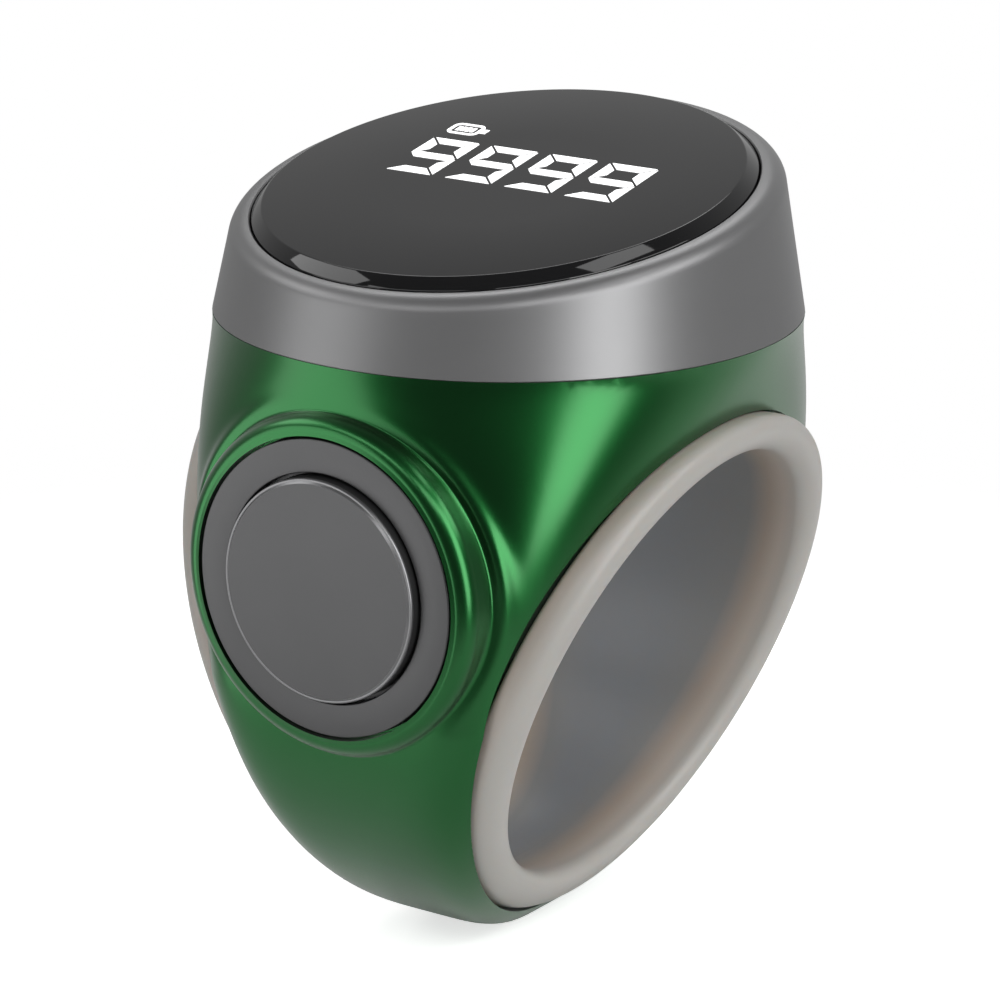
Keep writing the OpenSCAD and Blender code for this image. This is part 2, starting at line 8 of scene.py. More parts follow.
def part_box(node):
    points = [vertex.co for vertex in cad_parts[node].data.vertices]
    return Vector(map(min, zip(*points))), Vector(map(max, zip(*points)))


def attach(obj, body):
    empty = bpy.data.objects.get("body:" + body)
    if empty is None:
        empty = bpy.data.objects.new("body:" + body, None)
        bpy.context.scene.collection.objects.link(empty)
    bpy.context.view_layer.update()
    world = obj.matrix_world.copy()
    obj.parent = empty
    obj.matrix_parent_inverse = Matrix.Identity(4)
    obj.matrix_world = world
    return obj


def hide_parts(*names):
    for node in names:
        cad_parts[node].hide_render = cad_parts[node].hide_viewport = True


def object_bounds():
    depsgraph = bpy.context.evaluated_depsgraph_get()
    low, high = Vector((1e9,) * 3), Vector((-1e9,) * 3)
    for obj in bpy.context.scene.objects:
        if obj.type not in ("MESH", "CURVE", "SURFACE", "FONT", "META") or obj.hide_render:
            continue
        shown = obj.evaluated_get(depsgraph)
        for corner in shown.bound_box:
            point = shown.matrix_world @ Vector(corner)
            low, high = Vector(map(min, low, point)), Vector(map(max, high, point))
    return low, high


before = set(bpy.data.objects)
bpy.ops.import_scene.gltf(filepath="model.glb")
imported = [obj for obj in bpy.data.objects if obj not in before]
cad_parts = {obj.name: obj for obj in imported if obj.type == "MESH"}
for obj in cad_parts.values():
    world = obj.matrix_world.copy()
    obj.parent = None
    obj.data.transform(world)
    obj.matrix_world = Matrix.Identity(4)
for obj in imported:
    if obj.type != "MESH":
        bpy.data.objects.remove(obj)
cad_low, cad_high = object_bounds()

# Sizes in millimetres: half widths and depths of the level sections, and how their corners are squared
MM = 0.001
BORE_R, BODY_R, SEAM_Z = 10.95, 12.45, 14.55
SEAM_HALF_W, SEAM_HALF_D, SEAM_BACK = 12.6, 12.4, 0.3
WAIST_HALF_W, SIDE_LEAN, FLARE_CURVE = 7.9, math.tan(math.radians(17)), 3
FOOT_START, FOOT_TUCK, FOOT_LIMIT = 4.1, 2.7, 0.99999
ROUND_POWER, SQUARE_POWER, FOOT_POWER_LOSS, CORNER_CURVE = 2, 7, 1.7, 1.33
DEPTH_CURVE, BACK_CURVE = 2.2, 1.5
ABOVE_SEAM, WELL_OUTSIDE = 2, 9.0


def outline_excess(x, y, z):
    """Above nought outside the body's level sections and below it inside, as a share of their size."""
    rise = np.clip(z, 0, None) / SEAM_Z
    low = np.clip(-z, 0, BODY_R * FOOT_LIMIT)
    drop = np.clip((low - FOOT_START) / (BODY_R - FOOT_START), 0, 1)
    flare = SEAM_HALF_W - WAIST_HALF_W - SIDE_LEAN * SEAM_Z
    wide = (WAIST_HALF_W + SIDE_LEAN * z + flare * rise ** FLARE_CURVE
            - FOOT_TUCK * (1 - np.sqrt(1 - drop ** 2)))
    deep_above = BODY_R + (SEAM_HALF_D - BODY_R) * rise ** DEPTH_CURVE
    deep = np.where(z < 0, np.sqrt(BODY_R ** 2 - low ** 2), deep_above)
    middle = SEAM_BACK * rise ** BACK_CURVE
    power_above = ROUND_POWER + (SQUARE_POWER - ROUND_POWER) * np.clip(1 - rise, 0, 1) ** CORNER_CURVE
    power = np.where(z < 0, SQUARE_POWER - FOOT_POWER_LOSS * low / BODY_R, power_above)
    reach = (np.abs(x / wide) ** power + np.abs((y - middle) / deep) ** power) ** (1 / power)
    return np.where((z > SEAM_Z + ABOVE_SEAM) | (z < -BODY_R), WELL_OUTSIDE, reach - 1)


# The land round the button: its flat face, its round edge, and points down its drafted wall
BUTTON_Z, BOSS_FACE, LAND_R = 5.44, 12.95, 6.58
LAND_EDGE_R, LAND_EDGE_H, LAND_EDGE_LOW = 0.66, 0.75, 12.2
BOSS_WALL = [(7.3, 11.9), (7.45, 11.0), (7.75, 9.8), (8.05, 8.4)]


def boss_profile():
    """Radius and height of the button's land: a flat face, a round edge and a drafted wall into the body."""
    line = [(0.0, BOSS_FACE), (LAND_R, BOSS_FACE)]
    line += [(LAND_R + LAND_EDGE_R * math.cos(a), LAND_EDGE_LOW + LAND_EDGE_H * math.sin(a))
             for a in np.radians(np.linspace(90, 4, 25))]
    return np.array(line + BOSS_WALL)


# The ridge beside the land: radius, height, width inwards and outwards, how far down, and widest angle
SEARCH_END, HALVINGS = 30.0, 34
RIDGE_R, RIDGE_H, RIDGE_IN, RIDGE_OUT, RIDGE_LOW, RIDGE_TURN = 7.75, 0.22, 0.28, 0.36, 0.75, 1.2
BOSS_FALL, BLEND, TINY = 60, 0.15, 1e-6


def shell_reach(way):
    """Distance from the boss axis's middle to the outside of the body in each direction.

    At the land's two sides the body's own surface swells into a soft ridge, which dies away low down."""
    near, far = np.zeros(len(way)), np.full(len(way), SEARCH_END)
    for _ in range(HALVINGS):
        half = (near + far) / 2
        out = outline_excess(way[:, 0] * half, way[:, 1] * half, BUTTON_Z + way[:, 2] * half) > 0
        far, near = np.where(out, half, far), np.where(out, near, half)
    body = (near + far) / 2
    turn = np.arccos(np.clip(-way[:, 1], -1, 1))
    apart = body * np.sin(turn) - RIDGE_R
    across = np.maximum(np.sin(turn), TINY)
    share = (way[:, 0] / across) ** 2 * np.clip(RIDGE_LOW + way[:, 2] / across, 0, 1)
    swell = RIDGE_H * share * np.exp(-(apart / np.where(apart < 0, RIDGE_IN, RIDGE_OUT)) ** 2)
    body = body + np.where(turn < RIDGE_TURN, swell, 0)
    line = boss_profile()
    boss = np.interp(turn, np.arctan2(line[:, 0], line[:, 1]), np.hypot(line[:, 0], line[:, 1]))
    last = math.atan2(*BOSS_WALL[-1])
    boss = np.where(turn > last, boss - BOSS_FALL * (turn - last), boss)
    close = np.clip(BLEND - np.abs(boss - body), 0, None) / BLEND
    return np.maximum(boss, body) + close ** 2 * BLEND / 4


def shell_points(way):
    return way * shell_reach(way)[:, None] + np.array([0, 0, BUTTON_Z])


def new_piece(name, points, faces):
    """A smooth-shaded mesh object from points in millimetres."""
    mesh = bpy.data.meshes.new(name)
    mesh.from_pydata([tuple(p * MM for p in q) for q in points], [], faces)
    mesh.validate()
    for face in mesh.polygons:
        face.use_smooth = True
    piece = bpy.data.objects.new(name, mesh)
    bpy.context.scene.collection.objects.link(piece)
    return piece


def ring_faces(rings, around, closed):
    """Quads between rings of points, and from the last ring back to the first in a closed section."""
    pairs = [(i, i + 1) for i in range(rings - 1)] + ([(rings - 1, 0)] if closed else [])
    return [(a * around + j, a * around + (j + 1) % around, b * around + (j + 1) % around, b * around + j)
            for a, b in pairs for j in range(around)]


def turned(name, line, place, around, closed=False):
    """A turned piece: a section of radius and height, run round Z and then put in place."""
    points = []
    for r, h in line:
        for j in range(around):
            a = 2 * math.pi * j / around
            points.append(place @ Vector((r * math.cos(a), r * math.sin(a), h)))
    faces = ring_faces(len(line), around, closed)
    if not closed:
        points += [place @ Vector((0, 0, line[0][1])), place @ Vector((0, 0, line[-1][1]))]
        first, last = len(points) - 2, len(points) - 1
        top = (len(line) - 1) * around
        faces += [((j + 1) % around, j, first) for j in range(around)]
        faces += [(top + j, top + (j + 1) % around, last) for j in range(around)]
    return new_piece(name, points, faces)


def crease(piece, degrees=32):
    """Turns the faces outwards, and keeps every edge sharper than this angle crisp."""
    work = bmesh.new()
    work.from_mesh(piece.data)
    bmesh.ops.recalc_face_normals(work, faces=work.faces)
    for edge in work.edges:
        edge.smooth = len(edge.link_faces) == 2 and edge.calc_face_angle(0) < math.radians(degrees)
    work.to_mesh(piece.data)
    work.free()
    return piece


def flipped_out(piece):
    """Turns a closed mesh's faces outwards."""
    work = bmesh.new()
    work.from_mesh(piece.data)
    bmesh.ops.recalc_face_normals(work, faces=work.faces)
    work.to_mesh(piece.data)
    work.free()
    return piece


def block(name, low, high):
    """A plain block between two corners."""
    points = [(x, y, z) for z in (low[2], high[2]) for y in (low[1], high[1]) for x in (low[0], high[0])]
    faces = [(0, 2, 3, 1), (4, 5, 7, 6), (0, 1, 5, 4), (2, 6, 7, 3), (0, 4, 6, 2), (1, 3, 7, 5)]
    return new_piece(name, points, faces)


def solved(piece, cutter, operation):
    """The piece's mesh after a cutter is taken out of it, or after it is kept only where both are."""
    change = piece.modifiers.new(cutter.name, "BOOLEAN")
    change.operation, change.solver, change.object = operation, "EXACT", cutter
    whole = piece.evaluated_get(bpy.context.evaluated_depsgraph_get())
    mesh = bpy.data.meshes.new_from_object(whole)
    piece.modifiers.clear()
    return mesh


def cut_away(piece, cutters):
    """Takes the cutters out of the piece and deletes them."""
    for cutter in cutters:
        piece.data = solved(piece, flipped_out(cutter), "DIFFERENCE")
    for cutter in cutters:
        bpy.data.objects.remove(cutter)


# Rings of points from the front to the back, by angle: start, end and how many, closest at the boss's foot
RING_STRETCHES = [(4, 25, 5), (26.3, 37.1, 84), (37.5, 46, 20), (47, 176, 104)]
SIDES = 320
turns = np.radians(np.concatenate([np.linspace(*stretch) for stretch in RING_STRETCHES]))
sides = 2 * math.pi * np.arange(SIDES) / SIDES
grid_turn, grid_side = np.meshgrid(turns, sides, indexing="ij")
ways = np.stack([np.sin(grid_turn) * np.cos(grid_side), -np.cos(grid_turn),
                 np.sin(grid_turn) * np.sin(grid_side)], -1).reshape(-1, 3)
ways = np.vstack([ways, [[0, -1, 0]], [[0, 1, 0]]])
skin = shell_points(ways)
front, back = len(skin) - 2, len(skin) - 1
edge_ring = (len(turns) - 1) * SIDES
shell_faces = ring_faces(len(turns), SIDES, False)
shell_faces += [((j + 1) % SIDES, j, front) for j in range(SIDES)]
shell_faces += [(edge_ring + j, edge_ring + (j + 1) % SIDES, back) for j in range(SIDES)]
shell = flipped_out(new_piece("green_body", skin.tolist(), shell_faces))

# Seats for the sleeve's lips, on planes that lean outwards; cutters run well past the body
SEAT_X, SEAT_R, SLANT = 6.41, 11.55, math.tan(math.radians(21.3))
PAST, PAST_TOP, PAST_FACE = 30, 40, 20
FINE, MEDIUM, COARSE, SMALL = 256, 192, 128, 32
along_x = Matrix.Rotation(math.radians(90), 4, "Y")
out_front = Matrix.Translation((0, 0, BUTTON_Z)) @ Matrix.Rotation(math.radians(90), 4, "X")


def lip_seat(side):
    """The seat for a soft end lip: a round cutter from the slanted plane out sideways."""
    points = []
    for x in (SEAT_X, PAST_FACE):
        for j in range(FINE):
            a = 2 * math.pi * j / FINE
            y, z = SEAT_R * math.sin(a), SEAT_R * math.cos(a)
            points.append((side * (x + SLANT * z), y, z))
    ends = [tuple(range(FINE)), tuple(range(FINE, 2 * FINE))]
    return new_piece("seat", points, ring_faces(2, FINE, False) + ends)


# The room for the board and the battery, the button's recess, and the holes for contacts and screws
ROOM_R, LEDGE_Z, ROOM_LOW, ROOM_TOP = 10.3, 12.7, 8.0, 20
ROOM_HALF_W, ROOM_HALF_D, WALLS_TOP = 8.0, 12, 22
SKIRT_ROOM_R, SKIRT_ROOM_DEEP = 11.0, 0.85
RECESS_R, RECESS_FLOOR, POCKET_R, POCKET_FLOOR = 6.4, 12.1, 5.45, 11.2
WINDOW_LOW, WINDOW_HIGH = (-1.9, -11.7, 3.59), (1.9, -8.0, 10.8)
CONTACT_HOLE_R, CONTACT_X, CONTACT_Z, CONTACT_HOLE_END = 1.05, 2, 10.4, 25
SCREW_HOLE_R, SCREW_X, SCREW_HOLE_LOW, SCREW_HOLE_TOP = 0.45, 9, 11.4, 14
cutters = [
    block("above", (-PAST, -PAST, SEAM_Z), (PAST, PAST, PAST_TOP)),
    turned("bore", [(BORE_R, -PAST), (BORE_R, PAST)], along_x, FINE),
    lip_seat(1),
    lip_seat(-1),
    turned("room", [(ROOM_R, LEDGE_Z), (ROOM_R, PAST)], Matrix(), MEDIUM),
    turned("skirt", [(SKIRT_ROOM_R, SEAM_Z - SKIRT_ROOM_DEEP), (SKIRT_ROOM_R, PAST)], Matrix(), FINE),
    turned("recess", [(RECESS_R, RECESS_FLOOR), (RECESS_R, PAST_FACE)], out_front, FINE),
    turned("pocket", [(POCKET_R, POCKET_FLOOR), (POCKET_R, PAST_FACE)], out_front, COARSE),
]
low_room = turned("low_room", [(ROOM_R, ROOM_LOW), (ROOM_R, ROOM_TOP)], Matrix(), MEDIUM)
walls = block("walls", (-ROOM_HALF_W, -ROOM_HALF_D, 0), (ROOM_HALF_W, ROOM_HALF_D, WALLS_TOP))
low_room.data = solved(low_room, walls, "INTERSECT")
bpy.data.objects.remove(walls)
cutters += [low_room, block("window", WINDOW_LOW, WINDOW_HIGH)]
for x in (-CONTACT_X, CONTACT_X):
    place = Matrix.Translation((x, 0, CONTACT_Z)) @ Matrix.Rotation(math.radians(-90), 4, "X")
    line = [(CONTACT_HOLE_R, 0), (CONTACT_HOLE_R, CONTACT_HOLE_END)]
    cutters.append(turned("hole", line, place, 2 * SMALL))
for x in (-SCREW_X, SCREW_X):
    line = [(SCREW_HOLE_R, SCREW_HOLE_LOW), (SCREW_HOLE_R, SCREW_HOLE_TOP)]
    cutters.append(turned("screw_hole", line, Matrix.Translation((x, 0, 0)), SMALL))
cut_away(shell, cutters)
crease(shell, degrees=30)


def true_outside(piece):
    """Gives the body's outside the exact normals of its rule, so that cuts leave no mark in the gloss."""
    step, near_skin, facing, nearly_y = 0.002, 0.01, 0.8, 0.9
    mesh = piece.data
    at = np.zeros(len(mesh.vertices) * 3)
    mesh.vertices.foreach_get("co", at)
    arm = at.reshape(-1, 3) / MM - np.array([0, 0, BUTTON_Z])
    far = np.linalg.norm(arm, axis=1)
    way = arm / far[:, None]
    side = np.cross(way, np.where(np.abs(way[:, 1:2]) > nearly_y, [[1.0, 0, 0]], [[0, 1.0, 0]]))
    side /= np.linalg.norm(side, axis=1)[:, None]
    up = np.cross(way, side)
    ends = []
    for along in (side, -side, up, -up):
        w = way + along * step
        ends.append(shell_points(w / np.linalg.norm(w, axis=1)[:, None]))
    normal = np.cross(ends[0] - ends[1], ends[2] - ends[3])
    normal /= np.linalg.norm(normal, axis=1)[:, None]
    normal *= np.sign((normal * way).sum(1))[:, None]
    on_skin = np.abs(far - shell_reach(way)) < near_skin
    corners = np.zeros(len(mesh.loops), int)
    mesh.loops.foreach_get("vertex_index", corners)
    shaded = np.array([c.vector for c in mesh.corner_normals])
    for face in mesh.polygons:
        span = slice(face.loop_start, face.loop_start + face.loop_total)
        points = corners[span]
        if on_skin[points].all() and np.dot(np.array(face.normal), normal[points].mean(0)) > facing:
            shaded[span] = normal[points]
    mesh.normals_split_custom_set([tuple(n) for n in shaded])


true_outside(shell)
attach(shell, "case")
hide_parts("body_shell")

PER_METRE, BUMP_DEEP = 1000, 0.02 * MM


def fine_finish():
    """Shared finish, sized in millimetres: soft changes of colour, a grain in the gloss, and a height."""
    group = bpy.data.node_groups.new("fine_finish", "ShaderNodeTree")
    face = group.interface
    for name, kind in (("Colour", "NodeSocketColor"), ("Second Colour", "NodeSocketColor"),
                       ("Patch Scale", "NodeSocketFloat"), ("Grain Scale", "NodeSocketFloat"),
                       ("Roughness Low", "NodeSocketFloat"), ("Roughness High", "NodeSocketFloat")):
        face.new_socket(name, in_out="INPUT", socket_type=kind)
    for name, kind in (("Colour", "NodeSocketColor"), ("Roughness", "NodeSocketFloat"),
                       ("Height", "NodeSocketFloat")):
        face.new_socket(name, in_out="OUTPUT", socket_type=kind)
    nodes, links = group.nodes, group.links
    given, out = nodes.new("NodeGroupInput"), nodes.new("NodeGroupOutput")
    place, size = nodes.new("ShaderNodeTexCoord"), nodes.new("ShaderNodeMapping")
    size.inputs["Scale"].default_value = (PER_METRE, PER_METRE, PER_METRE)
    links.new(place.outputs["Object"], size.inputs["Vector"])
    patch, grain = nodes.new("ShaderNodeTexNoise"), nodes.new("ShaderNodeTexNoise")
    patch.inputs["Detail"].default_value = 3
    grain.inputs["Detail"].default_value = 2
    for noise, scale in ((patch, "Patch Scale"), (grain, "Grain Scale")):
        links.new(size.outputs["Vector"], noise.inputs["Vector"])
        links.new(given.outputs[scale], noise.inputs["Scale"])
    blend = nodes.new("ShaderNodeMix")
    blend.data_type = "RGBA"
    links.new(patch.outputs["Fac"], blend.inputs["Factor"])
    links.new(given.outputs["Colour"], blend.inputs[6])
    links.new(given.outputs["Second Colour"], blend.inputs[7])
    rough = nodes.new("ShaderNodeMapRange")
    links.new(grain.outputs["Fac"], rough.inputs["Value"])
    links.new(given.outputs["Roughness Low"], rough.inputs["To Min"])
    links.new(given.outputs["Roughness High"], rough.inputs["To Max"])
    links.new(blend.outputs[2], out.inputs["Colour"])
    links.new(rough.outputs["Result"], out.inputs["Roughness"])
    links.new(grain.outputs["Fac"], out.inputs["Height"])
    return group


FINISH = fine_finish()


def add_finish(tree, patch, grain, rough, bump):
    """Puts the shared finish into a material: its roughness and its bump go straight to the shader."""
    shader = tree.nodes["Principled BSDF"]
    group = tree.nodes.new("ShaderNodeGroup")
    group.node_tree = FINISH
    group.inputs["Patch Scale"].default_value = patch
    group.inputs["Grain Scale"].default_value = grain
    group.inputs["Roughness Low"].default_value = rough[0]
    group.inputs["Roughness High"].default_value = rough[1]
    raised = tree.nodes.new("ShaderNodeBump")
    raised.inputs["Strength"].default_value = bump
    raised.inputs["Distance"].default_value = BUMP_DEEP
    tree.links.new(group.outputs["Roughness"], shader.inputs["Roughness"])
    tree.links.new(group.outputs["Height"], raised.inputs["Height"])
    tree.links.new(raised.outputs["Normal"], shader.inputs["Normal"])
    return shader, group


def new_material(name):
    material = bpy.data.materials.new(name)
    material.use_nodes = True
    return material


def finish(name, colour, second, patch=0.3, grain=8.0, rough=(0.3, 0.4), bump=0.05, metallic=0.0, **plain):
    """A material with the shared finish; plain names the shader's own sockets that are the same all over."""
    material = new_material(name)
    tree = material.node_tree
    shader, group = add_finish(tree, patch, grain, rough, bump)
    group.inputs["Colour"].default_value = (*colour, 1)
    group.inputs["Second Colour"].default_value = (*second, 1)
    tree.links.new(group.outputs["Colour"], shader.inputs["Base Color"])
    shader.inputs["Metallic"].default_value = metallic
    for socket, value in plain.items():
        shader.inputs[socket.replace("_", " ")].default_value = value
    return material


def dress(piece, material):
    piece.data.materials.clear()
    piece.data.materials.append(material)


green_anodised = finish("green_anodised", (0.002, 0.115, 0.017), (0.003, 0.135, 0.022), patch=0.15, grain=12,
                        rough=(0.26, 0.33), bump=0.04, metallic=1.0, Coat_Weight=0.7, Coat_Roughness=0.22,
                        Sheen_Weight=0.12, Sheen_Roughness=0.4)
dress(shell, green_anodised)

# Inner barrel: a thin drawn stainless tube, pressed into the bore to close the inside towards the finger.
# Its ends are ground to the slant of the sleeve's lips, and the soft sleeve hides it from the finger.
steel_tube = finish("steel_tube", (0.35, 0.36, 0.38), (0.42, 0.43, 0.45), patch=0.5, grain=10,
                    rough=(0.28, 0.4), bump=0.05, metallic=1.0)
dress(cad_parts["inner_barrel"], steel_tube)

# Charging contacts: two gold-plated pins through the back wall, each in a moulded insulating sleeve.
# A strip of amber flex joins their inner ends to the main board.
gold_plate = finish("gold_plate", (0.72, 0.47, 0.14), (0.8, 0.55, 0.2), patch=2, grain=15,
                    rough=(0.18, 0.3), bump=0.04, metallic=1.0)
moulded_black = finish("moulded_black", (0.012, 0.012, 0.013), (0.02, 0.02, 0.022), patch=1, grain=10,
                       rough=(0.42, 0.55), bump=0.12)
flex_amber = finish("flex_amber", (0.42, 0.17, 0.03), (0.5, 0.22, 0.05), patch=2, grain=10,
                    rough=(0.3, 0.4), bump=0.05)
dress(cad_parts["charge_contacts"], gold_plate)
dress(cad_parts["contact_insulators"], moulded_black)
dress(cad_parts["charge_flex"], flex_amber)

# Vibration motor: a drawn steel can with a turned shaft and a half-round tungsten weight that shakes
# the ring. It lies in a rubber saddle behind the battery.
steel = finish("steel", (0.5, 0.51, 0.52), (0.58, 0.59, 0.6), patch=1, grain=12,
               rough=(0.25, 0.38), bump=0.04, metallic=1.0)
weight_alloy = finish("weight_alloy", (0.26, 0.21, 0.14), (0.33, 0.27, 0.19), patch=2, grain=9,
                      rough=(0.38, 0.5), bump=0.15, metallic=1.0)
soft_rubber = finish("soft_rubber", (0.018, 0.018, 0.018), (0.028, 0.028, 0.028), patch=1, grain=8,
                     rough=(0.6, 0.75), bump=0.2)
dress(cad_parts["motor_case"], steel)
dress(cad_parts["motor_shaft"], steel)
dress(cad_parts["motor_weight"], weight_alloy)
dress(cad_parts["motor_cradle"], soft_rubber)

# Battery: a lithium cell in a pale foil pouch, stuck to the barrel on a foam pad.
# Two nickel tabs run up from it to the board.
battery_foil = finish("battery_foil", (0.42, 0.43, 0.45), (0.52, 0.53, 0.55), patch=1.2, grain=3,
                      rough=(0.3, 0.45), bump=0.4, metallic=0.8)
foam_grey = finish("foam_grey", (0.04, 0.04, 0.042), (0.07, 0.07, 0.072), patch=4, grain=6,
                   rough=(0.8, 0.95), bump=0.6)
nickel = finish("nickel", (0.55, 0.5, 0.38), (0.62, 0.57, 0.45), patch=2, grain=10,
                rough=(0.25, 0.4), bump=0.06, metallic=1.0)
dress(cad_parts["battery_cell"], battery_foil)
dress(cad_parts["battery_pad"], foam_grey)
dress(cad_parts["battery_tabs"], nickel)

# Switch: a low tactile switch with a steel plunger, on a strip of amber flex that runs up to the main
# board. The cap's stem pushes the plunger.
dress(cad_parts["switch_body"], moulded_black)
dress(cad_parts["switch_plunger"], steel)
dress(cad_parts["button_flex"], flex_amber)

# Button: a turned aluminium cap in a turned trim ring, both satin grey, with a thin black gap between
# them. A rubber gasket behind the ring holds the cap's flange and keeps water out.
TRIM_R, TRIM_HOLE_R, TRIM_BACK, TRIM_EASE = 6.28, 4.87, 12.35, 0.07
STEM_R, FLANGE_R, FLANGE_BACK, FLANGE_FRONT = 1.2, 5.15, 11.95, 12.3
CAP_R, CAP_FACE, CAP_ROUND = 4.73, 13.41, 0.2
BRIGHT_R, BRIGHT_Y, FACE_RINGS = 4.48, -13.15, (3.0, 1.5)


def eased(line, corners, radius, steps):
    """Rounds the numbered corners of a section."""
    made = []
    for i, (x, y) in enumerate(line):
        if i not in corners:
            made.append((x, y))
            continue
        before, after = Vector(line[i - 1]), Vector(line[(i + 1) % len(line)])
        corner = Vector((x, y))
        a = corner + (before - corner).normalized() * radius
        b = corner + (after - corner).normalized() * radius
        for k in range(steps + 1):
            t = k / steps
            p = a * (1 - t) ** 2 + corner * 2 * t * (1 - t) + b * t ** 2
            made.append((p.x, p.y))
    return made


button_grey = finish("button_grey", (0.094, 0.094, 0.096), (0.108, 0.108, 0.11), patch=0.2, grain=14,
                     rough=(0.36, 0.44), bump=0.05, metallic=0.85)
# The cap's rim: a lighter, glossier grey, partly a bright-cut edge and partly a painted highlight.
cap_rim_bright_cut_and_highlight = finish("cap_rim_bright_cut_and_highlight", (0.2, 0.2, 0.205), (0.23, 0.23, 0.235), patch=0.2, grain=14,
                     rough=(0.28, 0.32), bump=0.02, metallic=0.85)
dress(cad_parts["button_gasket"], soft_rubber)
ring_line = [(TRIM_R, TRIM_BACK), (TRIM_R, BOSS_FACE), (TRIM_HOLE_R, BOSS_FACE), (TRIM_HOLE_R, TRIM_BACK)]
ring_line = eased(ring_line, (1, 2), TRIM_EASE, steps=4)
trim_ring = crease(turned("button_trim", ring_line, out_front, FINE, closed=True))
dress(trim_ring, button_grey)
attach(trim_ring, "case")
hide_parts("button_trim_ring")

stem_end = -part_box("button_cap")[1].y / MM
cap_line = [(STEM_R, stem_end), (STEM_R, FLANGE_BACK), (FLANGE_R, FLANGE_BACK),
            (FLANGE_R, FLANGE_FRONT), (CAP_R, FLANGE_FRONT), (CAP_R, CAP_FACE)]
cap_line = eased(cap_line, (5,), CAP_ROUND, steps=6)
cap_line = cap_line[:-1] + [(r, CAP_FACE) for r in (CAP_R - CAP_ROUND, *FACE_RINGS)]
cap = crease(turned("button_cap_turned", cap_line, out_front, FINE))
dress(cap, button_grey)
cap.data.materials.append(cap_rim_bright_cut_and_highlight)
# Faces round the cap's rim take the lighter grey, partly a bright-cut edge and partly a painted highlight.
for face in cap.data.polygons:
    across = math.hypot(face.center.x, face.center.z - BUTTON_Z * MM)
    if across > BRIGHT_R * MM and face.center.y < BRIGHT_Y * MM:
        face.material_index = 1
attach(cap, "button")
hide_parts("button_cap")

# Display carrier and main board: a moulded tray screwed into the body, with the round circuit board on
# top. The board carries the controller, the charger, a crystal, the antenna, some small parts and the
# display's connector.
board_green = finish("board_green", (0.008, 0.07, 0.028), (0.012, 0.09, 0.035), patch=1.5, grain=5,
                     rough=(0.3, 0.45), bump=0.1)
chip_black = finish("chip_black", (0.01, 0.01, 0.011), (0.018, 0.018, 0.02), patch=3, grain=14,
                    rough=(0.4, 0.55), bump=0.15)
ceramic_white = finish("ceramic_white", (0.72, 0.71, 0.66), (0.79, 0.78, 0.73), patch=2, grain=10,
                       rough=(0.35, 0.5), bump=0.05)
passive_tan = finish("passive_tan", (0.35, 0.24, 0.12), (0.42, 0.3, 0.16), patch=3, grain=9,
                     rough=(0.4, 0.55), bump=0.1)
connector_cream = finish("connector_cream", (0.68, 0.63, 0.52), (0.75, 0.7, 0.6), patch=2, grain=9,
                         rough=(0.4, 0.5), bump=0.06)
for node, material in (("display_carrier", moulded_black), ("carrier_screws", steel),
                       ("main_board", board_green), ("controller_chip", chip_black),
                       ("charger_chip", chip_black), ("crystal", steel), ("antenna", ceramic_white),
                       ("board_passives", passive_tan), ("oled_connector", connector_cream)):
    dress(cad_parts[node], material)

# Bezel ring: a second aluminium ring, satin grey, that closes the body's top and holds the display.
# Its wall rises from the level seam to a tilted rim with a rounded edge, and a skirt under it centres
# it in the body.
TOP_Z, TILT, RIM_R, RIM_ROUND = 19.7, math.radians(11), 11.82, 0.9
SEAM_GAP, SEAM_EDGE_IN, SEAM_EDGE_UP = 0.06, 0.02, 0.015
LENS_SEAT_R, LENS_SEAT_DEEP, SEAT_EASE, SHELF_R, SHELF_UNDER_Z = 10.8, 1.0, 0.05, 9.6, 15.75
SKIRT_IN_R, SKIRT_OUT_R, SKIRT_DEEP = 10.35, 10.95, 0.8
AROUND = 384
angles = [2 * math.pi * j / AROUND for j in range(AROUND)]


def tilted(r, sink, a):
    """A point at a radius and angle in the rim's tilted plane, sunk some way below it."""
    y = r * math.sin(a)
    return (r * math.cos(a), y * math.cos(TILT) + sink * math.sin(TILT),
            TOP_Z + y * math.sin(TILT) - sink * math.cos(TILT))


def bezel_wall(a):
    """The wall's outside at an angle: straight up from the seam, then round into the rim with no break."""
    x, y, z = SEAM_HALF_W * math.cos(a), SEAM_BACK + SEAM_HALF_D * math.sin(a), SEAM_Z + SEAM_GAP
    level = z - TOP_Z
    leaned = y * math.cos(TILT) + level * math.sin(TILT)
    across = x * math.cos(a) + leaned * math.sin(a) - RIM_R + RIM_ROUND
    height = level * math.cos(TILT) - y * math.sin(TILT) + RIM_ROUND
    start = math.atan2(height, across) + math.acos(RIM_ROUND / math.hypot(across, height))
    arc = [tilted(RIM_R - RIM_ROUND * (1 - math.cos(t)), RIM_ROUND * (1 - math.sin(t)), a)
           for t in np.linspace(start, math.pi / 2, 15)]
    line = [(x - SEAM_EDGE_IN * math.cos(a), y - SEAM_EDGE_IN * math.sin(a), SEAM_Z + SEAM_EDGE_UP)]
    for share in np.linspace(0, 1, 16)[:-1]:
        line.append(tuple(p + (q - p) * share for p, q in zip((x, y, z), arc[0])))
    return line + arc


def level_ring(r, z, y=0.0):
    """A level ring of points, its middle moved back by y."""
    return [(r * math.cos(a), y + r * math.sin(a), z) for a in angles]


